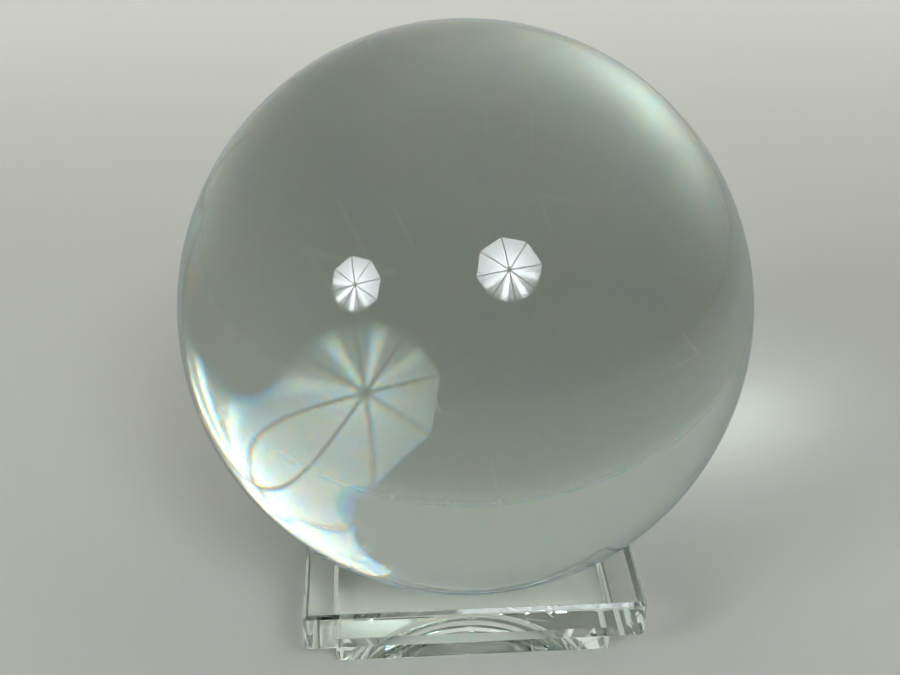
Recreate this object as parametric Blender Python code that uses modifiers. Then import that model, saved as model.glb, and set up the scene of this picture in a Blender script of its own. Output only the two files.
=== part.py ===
"""Crystal ball on a square two-tier clear stand.

Two separate solids, in metres, +Z up. The origin is the middle of the stand's underside, and
the stand's front face looks along -Y.
"""

import math

import bmesh
import bpy

INCH = 0.0254

# the ball
BALL_RADIUS = 2.5 * INCH
BALL_SUBDIVISIONS = 5

# the stand: a square block whose lower half is cut back on all four sides
BLOCK_WIDTH = 3.0 * INCH
TIER_HEIGHT = 0.375 * INCH
STEP_INSET = 0.25 * INCH
EDGE_CHAMFER = 0.0007

# the hollow under the ball: a round rim that carries it, over a deeper spherical cup
RIM_RADIUS = 1.25 * INCH
RIM_CHAMFER = 0.0006
CUP_DEPTH = 0.5625 * INCH
CUP_RINGS = 20
CUP_STEPS = 72

# the ball stands off the rim it rests on, so that the two solids never share a point
REST_GAP = 0.0003

BLOCK_HEIGHT = 2 * TIER_HEIGHT
BALL_CENTRE_Z = BLOCK_HEIGHT + math.sqrt((BALL_RADIUS + REST_GAP) ** 2 - RIM_RADIUS**2)


def new_collection(name):
    collection = bpy.data.collections.new(name)
    bpy.context.scene.collection.children.link(collection)
    return collection


def clear_material(name, color, ior, roughness):
    """A see-through Principled material."""
    material = bpy.data.materials.new(name)
    material.use_nodes = True
    shader = material.node_tree.nodes["Principled BSDF"]
    shader.inputs["Base Color"].default_value = (*color, 1.0)
    shader.inputs["Roughness"].default_value = roughness
    shader.inputs["Metallic"].default_value = 0.0
    shader.inputs["IOR"].default_value = ior
    shader.inputs["Transmission Weight"].default_value = 1.0
    return material


def mesh_object(name, bm, collection):
    """Turn a finished bmesh into an object of the collection."""
    mesh = bpy.data.meshes.new(name)
    bm.to_mesh(mesh)
    bm.free()
    piece = bpy.data.objects.new(name, mesh)
    collection.objects.link(piece)
    return piece


def square_slab(name, width, bottom, top, collection):
    """A square slab about the Z axis with its edges chamfered."""
    bm = bmesh.new()
    bmesh.ops.create_cube(bm, size=1.0)
    bmesh.ops.scale(bm, vec=(width, width, top - bottom), verts=bm.verts)
    bmesh.ops.translate(bm, vec=(0.0, 0.0, (top + bottom) / 2), verts=bm.verts)
    slab = mesh_object(name, bm, collection)
    chamfer = slab.modifiers.new("edge_chamfer", "BEVEL")
    chamfer.width = EDGE_CHAMFER
    chamfer.segments = 1
    return slab


def as_cutter(piece):
    piece.hide_render = True
    piece.display_type = "WIRE"
    return piece


def boolean(piece, other, operation):
    modifier = piece.modifiers.new(other.name, "BOOLEAN")
    modifier.operation = operation
    modifier.solver = "EXACT"
    modifier.object = other


def cup_profile():
    """The cup's half outline, top to bottom: above the block, the chamfered rim, then the arc."""
    arc_top = BLOCK_HEIGHT - RIM_CHAMFER
    arc_rim = RIM_RADIUS - RIM_CHAMFER
    arc_depth = CUP_DEPTH - RIM_CHAMFER
    arc_radius = (arc_rim**2 + arc_depth**2) / (2 * arc_depth)
    half_angle = math.asin(arc_rim / arc_radius)
    arc_centre_z = arc_top - arc_depth + arc_radius

    overshoot = RIM_CHAMFER
    points = [(0.0, BLOCK_HEIGHT + overshoot), (RIM_RADIUS + overshoot, BLOCK_HEIGHT + overshoot)]
    for ring in range(CUP_RINGS + 1):
        angle = half_angle * (1 - ring / CUP_RINGS)
        points.append((arc_radius * math.sin(angle), arc_centre_z - arc_radius * math.cos(angle)))
    return points


def cup_cutter(collection):
    """The turned shape that hollows the stand's top."""
    points = cup_profile()
    mesh = bpy.data.meshes.new("cup_cutter")
    edges = [(i, i + 1) for i in range(len(points) - 1)]
    mesh.from_pydata([(x, 0.0, z) for x, z in points], edges, [])
    cutter = bpy.data.objects.new("cup_cutter", mesh)
    collection.objects.link(cutter)
    turn = cutter.modifiers.new("turn", "SCREW")
    turn.axis = "Z"
    turn.angle = math.tau
    turn.steps = CUP_STEPS
    turn.render_steps = CUP_STEPS
    turn.use_merge_vertices = True
    turn.merge_threshold = 0.00001
    return as_cutter(cutter)


def stand_block(parts, cutters):
    """The clear stand: a wide upper tier, a narrower foot under it and the cup in its top."""
    block = square_slab("stand_block", BLOCK_WIDTH, TIER_HEIGHT, BLOCK_HEIGHT, parts)
    foot_width = BLOCK_WIDTH - 2 * STEP_INSET
    foot = square_slab("foot_tier", foot_width, 0.0, 1.5 * TIER_HEIGHT, cutters)
    boolean(block, as_cutter(foot), "UNION")
    boolean(block, cup_cutter(cutters), "DIFFERENCE")
    block.data.materials.append(clear_material("clear_acrylic", (0.95, 0.97, 0.96), 1.49, 0.02))
    return block


def crystal_ball(parts):
    """The solid ball, with its origin at its centre, on the line that it lifts along."""
    bm = bmesh.new()
    bmesh.ops.create_icosphere(bm, subdivisions=BALL_SUBDIVISIONS, radius=BALL_RADIUS)
    ball = mesh_object("crystal_ball", bm, parts)
    ball.data.shade_smooth()
    ball.location.z = BALL_CENTRE_Z
    ball.data.materials.append(clear_material("lead_crystal", (0.96, 0.98, 0.97), 1.52, 0.01))
    return ball


def main():
    for old in list(bpy.data.objects):
        bpy.data.objects.remove(old)
    parts = new_collection("crystal_ball_on_stand")
    cutters = new_collection("cutters")
    stand_block(parts, cutters)
    crystal_ball(parts)


main()
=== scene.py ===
# A solid crystal ball resting on a clear two-tier stand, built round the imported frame.
import math

import bpy
import numpy as np
from mathutils import Matrix, Vector


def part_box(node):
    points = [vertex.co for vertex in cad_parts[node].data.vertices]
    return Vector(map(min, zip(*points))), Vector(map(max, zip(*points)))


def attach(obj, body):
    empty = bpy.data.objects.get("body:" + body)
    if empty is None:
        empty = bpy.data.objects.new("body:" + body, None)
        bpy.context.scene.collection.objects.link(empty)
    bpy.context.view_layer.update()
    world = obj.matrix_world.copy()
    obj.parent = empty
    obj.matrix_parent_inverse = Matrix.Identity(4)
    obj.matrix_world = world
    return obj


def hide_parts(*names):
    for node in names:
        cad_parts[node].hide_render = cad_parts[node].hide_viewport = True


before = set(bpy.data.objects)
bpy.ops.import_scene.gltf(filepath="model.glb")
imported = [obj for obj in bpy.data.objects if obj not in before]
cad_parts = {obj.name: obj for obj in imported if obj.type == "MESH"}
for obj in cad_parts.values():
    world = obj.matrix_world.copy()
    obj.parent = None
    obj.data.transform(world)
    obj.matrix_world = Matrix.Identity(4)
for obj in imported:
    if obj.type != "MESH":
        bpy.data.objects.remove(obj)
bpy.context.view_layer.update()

mm = 0.001


def linearColor(hexColor):
    # sRGB hex to linear: c / 12.92 up to 0.04045, else ((c + 0.055) / 1.055) ^ 2.4
    channels = [int(hexColor[i:i + 2], 16) / 255 for i in (1, 3, 5)]
    return tuple(c / 12.92 if c <= 0.04045 else ((c + 0.055) / 1.055) ** 2.4 for c in channels) + (1.0,)


def addNode(tree, kind, settings=None, links=None):
    # one node, with its properties or socket values set and its inputs linked
    node = tree.nodes.new("ShaderNode" + kind)
    for name, value in (settings or {}).items():
        if isinstance(name, str) and hasattr(node, name):
            setattr(node, name, value)
        else:
            node.inputs[name].default_value = value
    for name, output in (links or {}).items():
        tree.links.new(output, node.inputs[name])
    return node


def newMaterial(name):
    material = bpy.data.materials.new(name)
    material.use_nodes = True
    material.node_tree.nodes.clear()
    return material, material.node_tree


def meshPiece(name, points, faces, material):
    # points is an (n, 3) array in metres, faces a list of index tuples
    mesh = bpy.data.meshes.new(name)
    mesh.from_pydata(points, [], faces)
    mesh.materials.append(material)
    piece = bpy.data.objects.new(name, mesh)
    bpy.context.scene.collection.objects.link(piece)
    return piece


def wrappedGrid(rings, firstPole, lastPole):
    # rings is a (rows, columns, 3) array closed round the columns, capped by a fan at each pole
    rows, columns = rings.shape[:2]
    points = np.concatenate([[firstPole], rings.reshape(-1, 3), [lastPole]])
    index = 1 + np.arange(rows * columns).reshape(rows, columns)
    ahead = np.roll(index, -1, axis=1)
    quads = np.stack([index[:-1], index[1:], ahead[1:], ahead[:-1]], axis=-1).reshape(-1, 4)
    top = np.stack([np.zeros(columns, int), index[0], ahead[0]], axis=-1)
    bottom = np.stack([np.full(columns, len(points) - 1), ahead[-1], index[-1]], axis=-1)
    return points, top.tolist() + quads.tolist() + bottom.tolist()


ball = dict(
    rows=280,
    columns=320,
    ior=1.54,
    spread=0.0055,  # how far the index rises from the middle to each half of the light
    fringe=0.9,  # how much of the light is split in two, the rest staying whole
    # patch is the size of a worn blotch, apart the gap between specks, rings a centre and a gap each
    wear=dict(
        patch=18.2 * mm,
        worn=(0.57, 0.66),
        dusty=(0.43, 0.36),
        apart=3 * mm,
        haze=0.22,
        deep=0.013 * mm,
        rings=[((-0.11, 0.03, 0.02), 5 * mm), ((0.05, -0.1, 0.25), 8 * mm)],
    ),
    # light fades as exp((tintAndPaintedShade - 1) x way / depth), darker than real crystal does: the faint
    # grey-green tint is deepened as painted shade for the shadowed paper seen through the ball
    tintAndPaintedShade="#c9d3cd",
    depth=0.082,
)


def ballSurface(centre, radius):
    # sphere: x = r sin(t) cos(a), y = r sin(t) sin(a), z = r cos(t), t from pole to pole, a round
    t = np.pi * np.arange(1, ball["rows"]) / ball["rows"]
    a = 2 * np.pi * np.arange(ball["columns"]) / ball["columns"]
    t, a = np.meshgrid(t, a, indexing="ij")
    sphere = np.stack([np.sin(t) * np.cos(a), np.sin(t) * np.sin(a), np.cos(t)], axis=-1)
    up = np.array([0.0, 0.0, radius])
    return wrappedGrid(centre + radius * sphere, centre + up, centre - up)


def handlingWear(tree, wear):
    # roughness and normal of a handled, polished piece. Scratches are thin crests, sin(k |p - c|) near 1,
    # of rings round two centres outside it, kept where a noise is high; specks are the middles of small
    # cells, kept where the noise is low
    place = addNode(tree, "TexCoord").outputs["Object"]
    cloud = addNode(tree, "TexNoise", {"Scale": 1 / wear["patch"], "Detail": 1.0}, {"Vector": place})
    worn, dusty = (
        addNode(tree, "MapRange", {"interpolation_type": "SMOOTHSTEP", "From Min": start, "From Max": end},
                {"Value": cloud.outputs["Fac"]})
        for start, end in (wear["worn"], wear["dusty"]))
    marks = []
    for centre, gap in wear["rings"]:
        moved = addNode(tree, "VectorMath", {"operation": "SUBTRACT", 1: centre}, {0: place})
        rings = addNode(tree, "TexWave", {
            "wave_type": "RINGS", "rings_direction": "SPHERICAL", "Scale": math.pi / 10 / gap,
            "Distortion": 4.0, "Detail": 1.0, "Detail Scale": 0.3}, {"Vector": moved.outputs[0]})
        crest = addNode(tree, "MapRange", {"From Min": 0.985}, {"Value": rings.outputs["Fac"]})
        marks.append((crest, worn))
    cells = addNode(tree, "TexVoronoi", {"Scale": 1 / wear["apart"]}, {"Vector": place})
    speck = addNode(tree, "MapRange", {"From Min": 0.03, "From Max": 0.08, "To Min": 1.0, "To Max": 0.0},
                    {"Value": cells.outputs["Distance"]})
    marks.append((speck, dusty))
    height = None
    for mark, where in marks:
        kept = addNode(tree, "Math", {"operation": "MULTIPLY"}, {0: mark.outputs[0], 1: where.outputs[0]})
        if height:
            kept = addNode(tree, "Math", {"operation": "MAXIMUM"}, {0: height, 1: kept.outputs[0]})
        height = kept.outputs[0]
    rough = addNode(tree, "Math", {"operation": "MULTIPLY", 1: wear["haze"]}, {0: height})
    normal = addNode(tree, "Bump", {"Strength": 0.5, "Distance": wear["deep"], "invert": True},
                     {"Height": height})
    return {"Roughness": rough.outputs[0], "Normal": normal.outputs["Normal"]}


def leadCrystal():
    # lead crystal, ground and polished: clear and faintly grey-green where it is deep, its absorption
    # deepened past that as painted shade for the shadowed paper seen through it, with scuffs from handling.
    # The warm half of the light is bent with index n - d and the cool half with n + d, which gives coloured
    # edges; the light left whole has index n
    material, tree = newMaterial("polishedLeadCrystal")
    worn = handlingWear(tree, ball["wear"])
    whole = addNode(tree, "BsdfPrincipled", {
        "Base Color": (1, 1, 1, 1), "IOR": ball["ior"], "Transmission Weight": 1.0}, worn)
    warm, cool = (
        addNode(tree, "BsdfRefraction", {"Color": color, "IOR": ball["ior"] + step}, worn)
        for color, step in (((1, 0.5, 0, 1), -ball["spread"]), ((0, 0.5, 1, 1), ball["spread"])))
    bent = addNode(tree, "AddShader", {}, {0: warm.outputs[0], 1: cool.outputs[0]})
    mirrored = addNode(tree, "BsdfGlossy", {"Color": (1, 1, 1, 1)}, worn)
    facing = addNode(tree, "Fresnel", {"IOR": ball["ior"]}, {"Normal": worn["Normal"]})
    split = addNode(tree, "MixShader", {},
                    {0: facing.outputs[0], 1: bent.outputs[0], 2: mirrored.outputs[0]})
    # only rays that haven't met the paper yet are split, because splitting the rest only adds grain
    path = addNode(tree, "LightPath")
    share = addNode(tree, "MapRange", {"To Min": ball["fringe"], "To Max": 0.0},
                    {"Value": path.outputs["Diffuse Depth"]})
    surface = addNode(tree, "MixShader", {},
                      {0: share.outputs[0], 1: whole.outputs[0], 2: split.outputs[0]})
    # absorption deeper than the crystal's own faint tint: painted shade for the shadowed paper seen through
    # the ball
    inside = addNode(tree, "VolumeAbsorption", {
        "Color": linearColor(ball["tintAndPaintedShade"]), "Density": 1 / ball["depth"]})
    addNode(tree, "OutputMaterial", links={"Surface": surface.outputs[0], "Volume": inside.outputs[0]})
    return material


def makeBall():
    low, high = (np.array(corner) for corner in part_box("crystal_ball"))
    centre, radius = (low + high) / 2, (high[2] - low[2]) / 2
    points, faces = ballSurface(centre, radius)
    piece = meshPiece("polishedBall", points, faces, leadCrystal())
    piece.data.shade_smooth()
    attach(piece, "ball")
    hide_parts("crystal_ball")
    return centre


stand = dict(
    tier=9.525 * mm,
    inset=6.35 * mm,
    chamfer=0.7 * mm,
    corner=0.7 * mm,
    rimRadius=31.75 * mm,
    rimChamfer=0.6 * mm,
    cupDepth=14.2875 * mm,
    cupRings=40,
    sidePoints=120,
    cornerPoints=5,
    ior=1.49,
    sharpFrom=20.0,
    # tint and depth darker than clear acrylic's: painted shade for the shadowed paper seen through the stand
    tintAndPaintedShade="#dfe5df",
    depth=0.07,
    wear=dict(
        patch=12.5 * mm,
        worn=(0.56, 0.66),
        dusty=(0.43, 0.35),
        apart=3 * mm,
        haze=0.22,
        deep=0.01 * mm,
        rings=[((0.3, 0.1, 0.1), 6 * mm), ((-0.1, -0.3, 0.2), 9 * mm)],
    ),
)


def squareOutline(half, corner):
    # rounded square walked anticlockwise: each corner an arc of the corner radius, each side straight
    turn = np.linspace(0, np.pi / 2, stand["cornerPoints"])
    along = np.linspace(0, 1, stand["sidePoints"] + 1)[1:-1]
    walk = []
    for quarter in range(4):
        start = quarter * np.pi / 2
        c, s = np.cos(start), np.sin(start)
        arc = np.stack([half - corner + corner * np.cos(turn), half - corner + corner * np.sin(turn)], -1)
        run = half - corner
        side = np.stack([run - 2 * run * along, np.full(len(along), half)], -1)
        walk.append(np.concatenate([arc, side]) @ np.array([[c, s], [-s, c]]))
    return np.concatenate(walk)


def standSurface(half, height):
    # rings up the cup, an arc x = R sin(t), z = bottom + R (1 - cos(t)), then over its chamfered rim and
    # the top as rounded squares, down the two tiers and in under the foot
    wide = squareOutline(half, stand["corner"])
    direction = wide / np.linalg.norm(wide, axis=1, keepdims=True)
    chamfer, inset, tier = stand["chamfer"], stand["inset"], stand["tier"]

    def ring(outline, z):
        return np.column_stack([outline, np.full(len(outline), z)])

    def square(size, z):
        return ring(squareOutline(size, stand["corner"]), z)

    # the arc ends at the lower edge of the rim's chamfer
    rim = stand["rimRadius"] - stand["rimChamfer"]
    sag = stand["cupDepth"] - stand["rimChamfer"]
    arcRadius = (rim ** 2 + sag ** 2) / (2 * sag)
    bottom = height - stand["cupDepth"]
    angles = np.arcsin(rim / arcRadius) * np.linspace(0, 1, stand["cupRings"] + 1)[1:]
    rings = [
        ring(arcRadius * np.sin(t) * direction, bottom + arcRadius * (1 - np.cos(t))) for t in angles]
    rings.append(ring(stand["rimRadius"] * direction, height))
    foot = half - inset
    rings += [
        square(half - chamfer, height), square(half, height - chamfer),
        square(half, tier + chamfer), square(half - chamfer, tier),
        square(foot, tier), square(foot, chamfer), square(foot - chamfer, 0.0),
    ]
    return wrappedGrid(np.array(rings), [0, 0, bottom], [0, 0, 0])


def clearAcrylic():
    # cast acrylic, cut and polished: water clear, with a lower index than crystal and fine hairlines, its
    # absorption set darker than clear acrylic's as painted shade for the shadowed paper seen through it
    material, tree = newMaterial("polishedAcrylic")
    surface = addNode(tree, "BsdfPrincipled", {
        "Base Color": (1, 1, 1, 1), "IOR": stand["ior"], "Transmission Weight": 1.0},
        handlingWear(tree, stand["wear"]))
    # absorption deeper than clear acrylic's: painted shade for the shadowed paper seen through the stand
    inside = addNode(tree, "VolumeAbsorption", {
        "Color": linearColor(stand["tintAndPaintedShade"]), "Density": 1 / stand["depth"]})
    addNode(tree, "OutputMaterial", links={"Surface": surface.outputs[0], "Volume": inside.outputs[0]})
    return material


def makeStand():
    low, high = (np.array(corner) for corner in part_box("stand_block"))
    points, faces = standSurface(high[0], high[2])
    piece = meshPiece("clearStand", points, faces, clearAcrylic())
    piece.data.shade_smooth()
    piece.data.set_sharp_from_angle(angle=math.radians(stand["sharpFrom"]))
    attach(piece, "stand")
    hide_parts("stand_block")


room = dict(
    paper="#c0c0bb",
    floorRadius=1.0,
    floorPoints=180,
    fade=0.5,
    below=0.05 * mm,  # the paper lies a hair under the stand
    tone=(1.0, 1.01, 0.97, 1.0),
    sky=0.22,
    backWall=0.38,
    backWallReach=0.8,
    ceiling=0.38,
    ceilingAngle=74.0,
    ceilingTurn=70.0,
    ceilingEdge=(0.50, 0.95),
)

# a long soft panel over the far end of the paper, which the glass doesn't show
farPanel = dict(place=(0, 0.62, 0.35), length=1.6, breadth=0.5, power=1.0, spread=110.0)

cloth = dict(distance=3.0, core=18.0, rim=7.4, scallop=0.08, points=96, color=(0.96, 1.0, 1.05, 1.0))
umbrellas = [
    dict(azimuth=-128.9, elevation=27.9, halfAngle=10.0, boost=3.8, turn=-10.0),
    dict(azimuth=163.3, elevation=39.8, halfAngle=12.2, boost=4.2, turn=0.0),
]

# contrast and brightness of the picture, and how often light may bounce
picture = dict(exposure=0.27, gamma=0.77, bounces=24, mirrorBounces=12)

view = dict(
    lens=52.0,
    place=(-18.75 * mm, -258.84 * mm, 209.98 * mm),
    turn=3.403,
    tilt=28.881,
    roll=-0.166,
)


def makeFloor():
    # matt paper in one pale grey, whose far edge runs out into the plain backdrop
    material, tree = newMaterial("mattPaper")
    place = addNode(tree, "TexCoord")
    surface = addNode(tree, "BsdfPrincipled", {
        "Base Color": linearColor(room["paper"]), "Roughness": 0.7, "Specular IOR Level": 0.2})
    out = addNode(tree, "VectorMath", {"operation": "LENGTH"}, {0: place.outputs["Object"]})
    gone = addNode(tree, "MapRange", {
        "interpolation_type": "SMOOTHSTEP", "From Min": room["fade"], "From Max": room["floorRadius"]},
        {"Value": out.outputs["Value"]})
    beyond = addNode(tree, "BsdfTransparent")
    sweep = addNode(tree, "MixShader", {}, {0: gone.outputs[0], 1: surface.outputs[0], 2: beyond.outputs[0]})
    addNode(tree, "OutputMaterial", links={"Surface": sweep.outputs[0]})
    a = np.linspace(0, 2 * np.pi, room["floorPoints"], endpoint=False)
    edge = room["floorRadius"] * np.column_stack([np.cos(a), np.sin(a), np.zeros(len(a))])
    floor = meshPiece("paperFloor", edge, [tuple(range(len(a)))], material)
    floor.location.z = -room["below"]


def umbrellaCloth(lamp, radius):
    # white cloth lit from its middle: rim + (core - rim)(1 - r)^1.5, with r from 0 in the middle to 1 at
    # the edge, dark where r |sin 4a| is small, which is along the ribs, and streaked on the lower panels
    material, tree = newMaterial("umbrellaCloth")
    place = addNode(tree, "TexCoord")
    scaled = addNode(tree, "VectorMath", {"operation": "SCALE", "Scale": 1 / radius},
                     {0: place.outputs["Object"]})
    split = addNode(tree, "SeparateXYZ", links={"Vector": scaled.outputs["Vector"]})
    r = addNode(tree, "VectorMath", {"operation": "LENGTH"}, {0: scaled.outputs["Vector"]}).outputs["Value"]
    angle = addNode(tree, "Math", {"operation": "ARCTAN2"}, {0: split.outputs["Y"], 1: split.outputs["X"]})
    turns = addNode(tree, "Math", {"operation": "MULTIPLY", 1: 4.0}, {0: angle.outputs[0]})
    wave = addNode(tree, "Math", {"operation": "SINE"}, {0: turns.outputs[0]})
    fold = addNode(tree, "Math", {"operation": "ABSOLUTE"}, {0: wave.outputs[0]}).outputs[0]
    ridge = addNode(tree, "Math", {"operation": "MULTIPLY"}, {0: fold, 1: r}).outputs[0]
    inward = addNode(tree, "Math", {"operation": "SUBTRACT", 0: 1.0}, {1: r})
    falling = addNode(tree, "Math", {"operation": "POWER", 1: 1.5}, {0: inward.outputs[0]})
    glow = addNode(tree, "Math", {
        "operation": "MULTIPLY_ADD", 1: cloth["core"] - cloth["rim"], 2: cloth["rim"]},
        {0: falling.outputs[0]})

    # each goes smoothly from one value to another as what it follows goes from low to high
    rib, hub, lower, streak, edge, middle = (
        addNode(tree, "MapRange", {
            "interpolation_type": "SMOOTHSTEP", "From Min": low, "From Max": high,
            "To Min": first, "To Max": last}, {"Value": followed}).outputs["Result"]
        for followed, low, high, first, last in (
            (ridge, 0.03, 0.13, 0.15, 1.0), (r, 0.02, 0.06, 0.1, 1.0),
            (split.outputs["Y"], -0.5, 0.05, 1.0, 0.0), (fold, 0.75, 1.0, -0.45, 0.7),
            (r, 0.7, 1.0, 0.0, -0.85), (r, 0.1, 0.75, lamp["boost"], 0.0)))

    # a studio cheat, not how lamps work: the middle of the cloth is brighter in light that comes by way
    # of the paper, which makes the spots that the ball throws there brighter than its mirror images
    path = addNode(tree, "LightPath")
    bounced = addNode(tree, "Math", {"operation": "MINIMUM", 1: 1.0}, {0: path.outputs["Diffuse Depth"]})
    shares = [rib, hub]
    for weight, change in ((lower, streak), (lower, edge), (bounced.outputs[0], middle)):
        share = addNode(tree, "Math", {"operation": "MULTIPLY_ADD", 2: 1.0}, {0: weight, 1: change})
        shares.append(share.outputs[0])
    power = glow.outputs[0]
    for share in shares:
        power = addNode(tree, "Math", {"operation": "MULTIPLY"}, {0: power, 1: share}).outputs[0]
    light = addNode(tree, "Emission", {"Color": cloth["color"]}, {"Strength": power})
    addNode(tree, "OutputMaterial", links={"Surface": light.outputs[0]})
    return material


def compass(azimuth, elevation):
    # direction with azimuth 0 along +Y and 90 along +X
    az, el = math.radians(azimuth), math.radians(elevation)
    return Vector((math.sin(az) * math.cos(el), math.cos(az) * math.cos(el), math.sin(el)))


def makeUmbrella(lamp, target):
    # eight-ribbed disc: r(a) = R (1 - scallop |sin 4a|), facing the ball
    radius = cloth["distance"] * math.tan(math.radians(lamp["halfAngle"]))
    a = np.linspace(0, 2 * np.pi, cloth["points"], endpoint=False)
    r = radius * (1 - cloth["scallop"] * np.abs(np.sin(4 * a)))
    rim = np.column_stack([r * np.cos(a), r * np.sin(a), np.zeros(len(a))])
    points = np.concatenate([[[0, 0, 0]], rim])
    faces = [(0, 1 + i, 1 + (i + 1) % len(a)) for i in range(len(a))]
    piece = meshPiece("umbrella", points, faces, umbrellaCloth(lamp, radius))
    away = compass(lamp["azimuth"], lamp["elevation"])
    facing = away.to_track_quat("Z", "Y").to_matrix().to_4x4()
    turned = facing @ Matrix.Rotation(math.radians(lamp["turn"]), 4, "Z")
    piece.matrix_world = Matrix.Translation(Vector(target) + away * cloth["distance"]) @ turned
    piece.visible_camera = False


def makeFarPanel():
    data = bpy.data.lights.new("farPanel", "AREA")
    data.shape = "RECTANGLE"
    data.size, data.size_y = farPanel["length"], farPanel["breadth"]
    data.energy = farPanel["power"]
    data.spread = math.radians(farPanel["spread"])
    panel = bpy.data.objects.new("farPanel", data)
    bpy.context.scene.collection.objects.link(panel)
    panel.location = farPanel["place"]
    panel.visible_camera = panel.visible_glossy = panel.visible_transmission = False


def makeSky():
    # plain soft room: paler towards +Y, and paler again overhead round one direction
    world = bpy.data.worlds.new("softRoom")
    bpy.context.scene.world = world
    world.use_nodes = True
    tree = world.node_tree
    tree.nodes.clear()
    place = addNode(tree, "TexCoord")
    split = addNode(tree, "SeparateXYZ", links={"Vector": place.outputs["Generated"]})
    toward = addNode(tree, "VectorMath", {
        "operation": "DOT_PRODUCT", 1: compass(room["ceilingTurn"], room["ceilingAngle"])},
        {0: place.outputs["Generated"]})
    wall = addNode(tree, "MapRange", {
        "interpolation_type": "SMOOTHSTEP", "From Max": room["backWallReach"],
        "To Min": room["sky"], "To Max": room["sky"] + room["backWall"]}, {"Value": split.outputs["Y"]})
    outer, inner = room["ceilingEdge"]
    ceiling = addNode(tree, "MapRange", {
        "interpolation_type": "SMOOTHSTEP", "From Min": outer, "From Max": inner,
        "To Max": room["ceiling"]}, {"Value": toward.outputs["Value"]})
    power = addNode(tree, "Math", {"operation": "ADD"}, {0: wall.outputs[0], 1: ceiling.outputs[0]})
    back = addNode(tree, "Background", {"Color": room["tone"]}, {"Strength": power.outputs[0]})
    addNode(tree, "OutputWorld", links={"Surface": back.outputs[0]})


def makeCamera():
    turn, tilt, roll = (math.radians(view[key]) for key in ("turn", "tilt", "roll"))
    ahead = Vector((math.sin(turn) * math.cos(tilt), math.cos(turn) * math.cos(tilt), -math.sin(tilt)))
    right = Vector((math.cos(turn), -math.sin(turn), 0))
    up = right.cross(ahead)
    across = right * math.cos(roll) + up * math.sin(roll)
    upright = up * math.cos(roll) - right * math.sin(roll)
    data = bpy.data.cameras.new("studioCamera")
    data.lens = view["lens"]
    data.clip_start = 0.01
    camera = bpy.data.objects.new("studioCamera", data)
    bpy.context.scene.collection.objects.link(camera)
    aim = Matrix((across, upright, -ahead)).transposed().to_4x4()
    camera.matrix_world = Matrix.Translation(view["place"]) @ aim
    bpy.context.scene.camera = camera


def setRendering():
    scene = bpy.context.scene
    scene.view_settings.view_transform = "Standard"
    scene.view_settings.exposure = picture["exposure"]
    scene.view_settings.gamma = picture["gamma"]
    scene.cycles.max_bounces = picture["bounces"]
    scene.cycles.transmission_bounces = picture["bounces"]
    scene.cycles.glossy_bounces = picture["mirrorBounces"]
    # no clamp and no blurred mirrors, which would dim the lamps in the glass and the spots it throws
    scene.cycles.sample_clamp_indirect = 0.0
    scene.cycles.blur_glossy = 0.0


makeCamera()
makeSky()
makeFloor()
setRendering()
ballCentre = makeBall()
print("ball made")
makeStand()
print("stand made")
for lamp in umbrellas:
    makeUmbrella(lamp, ballCentre)
makeFarPanel()
print("light made")
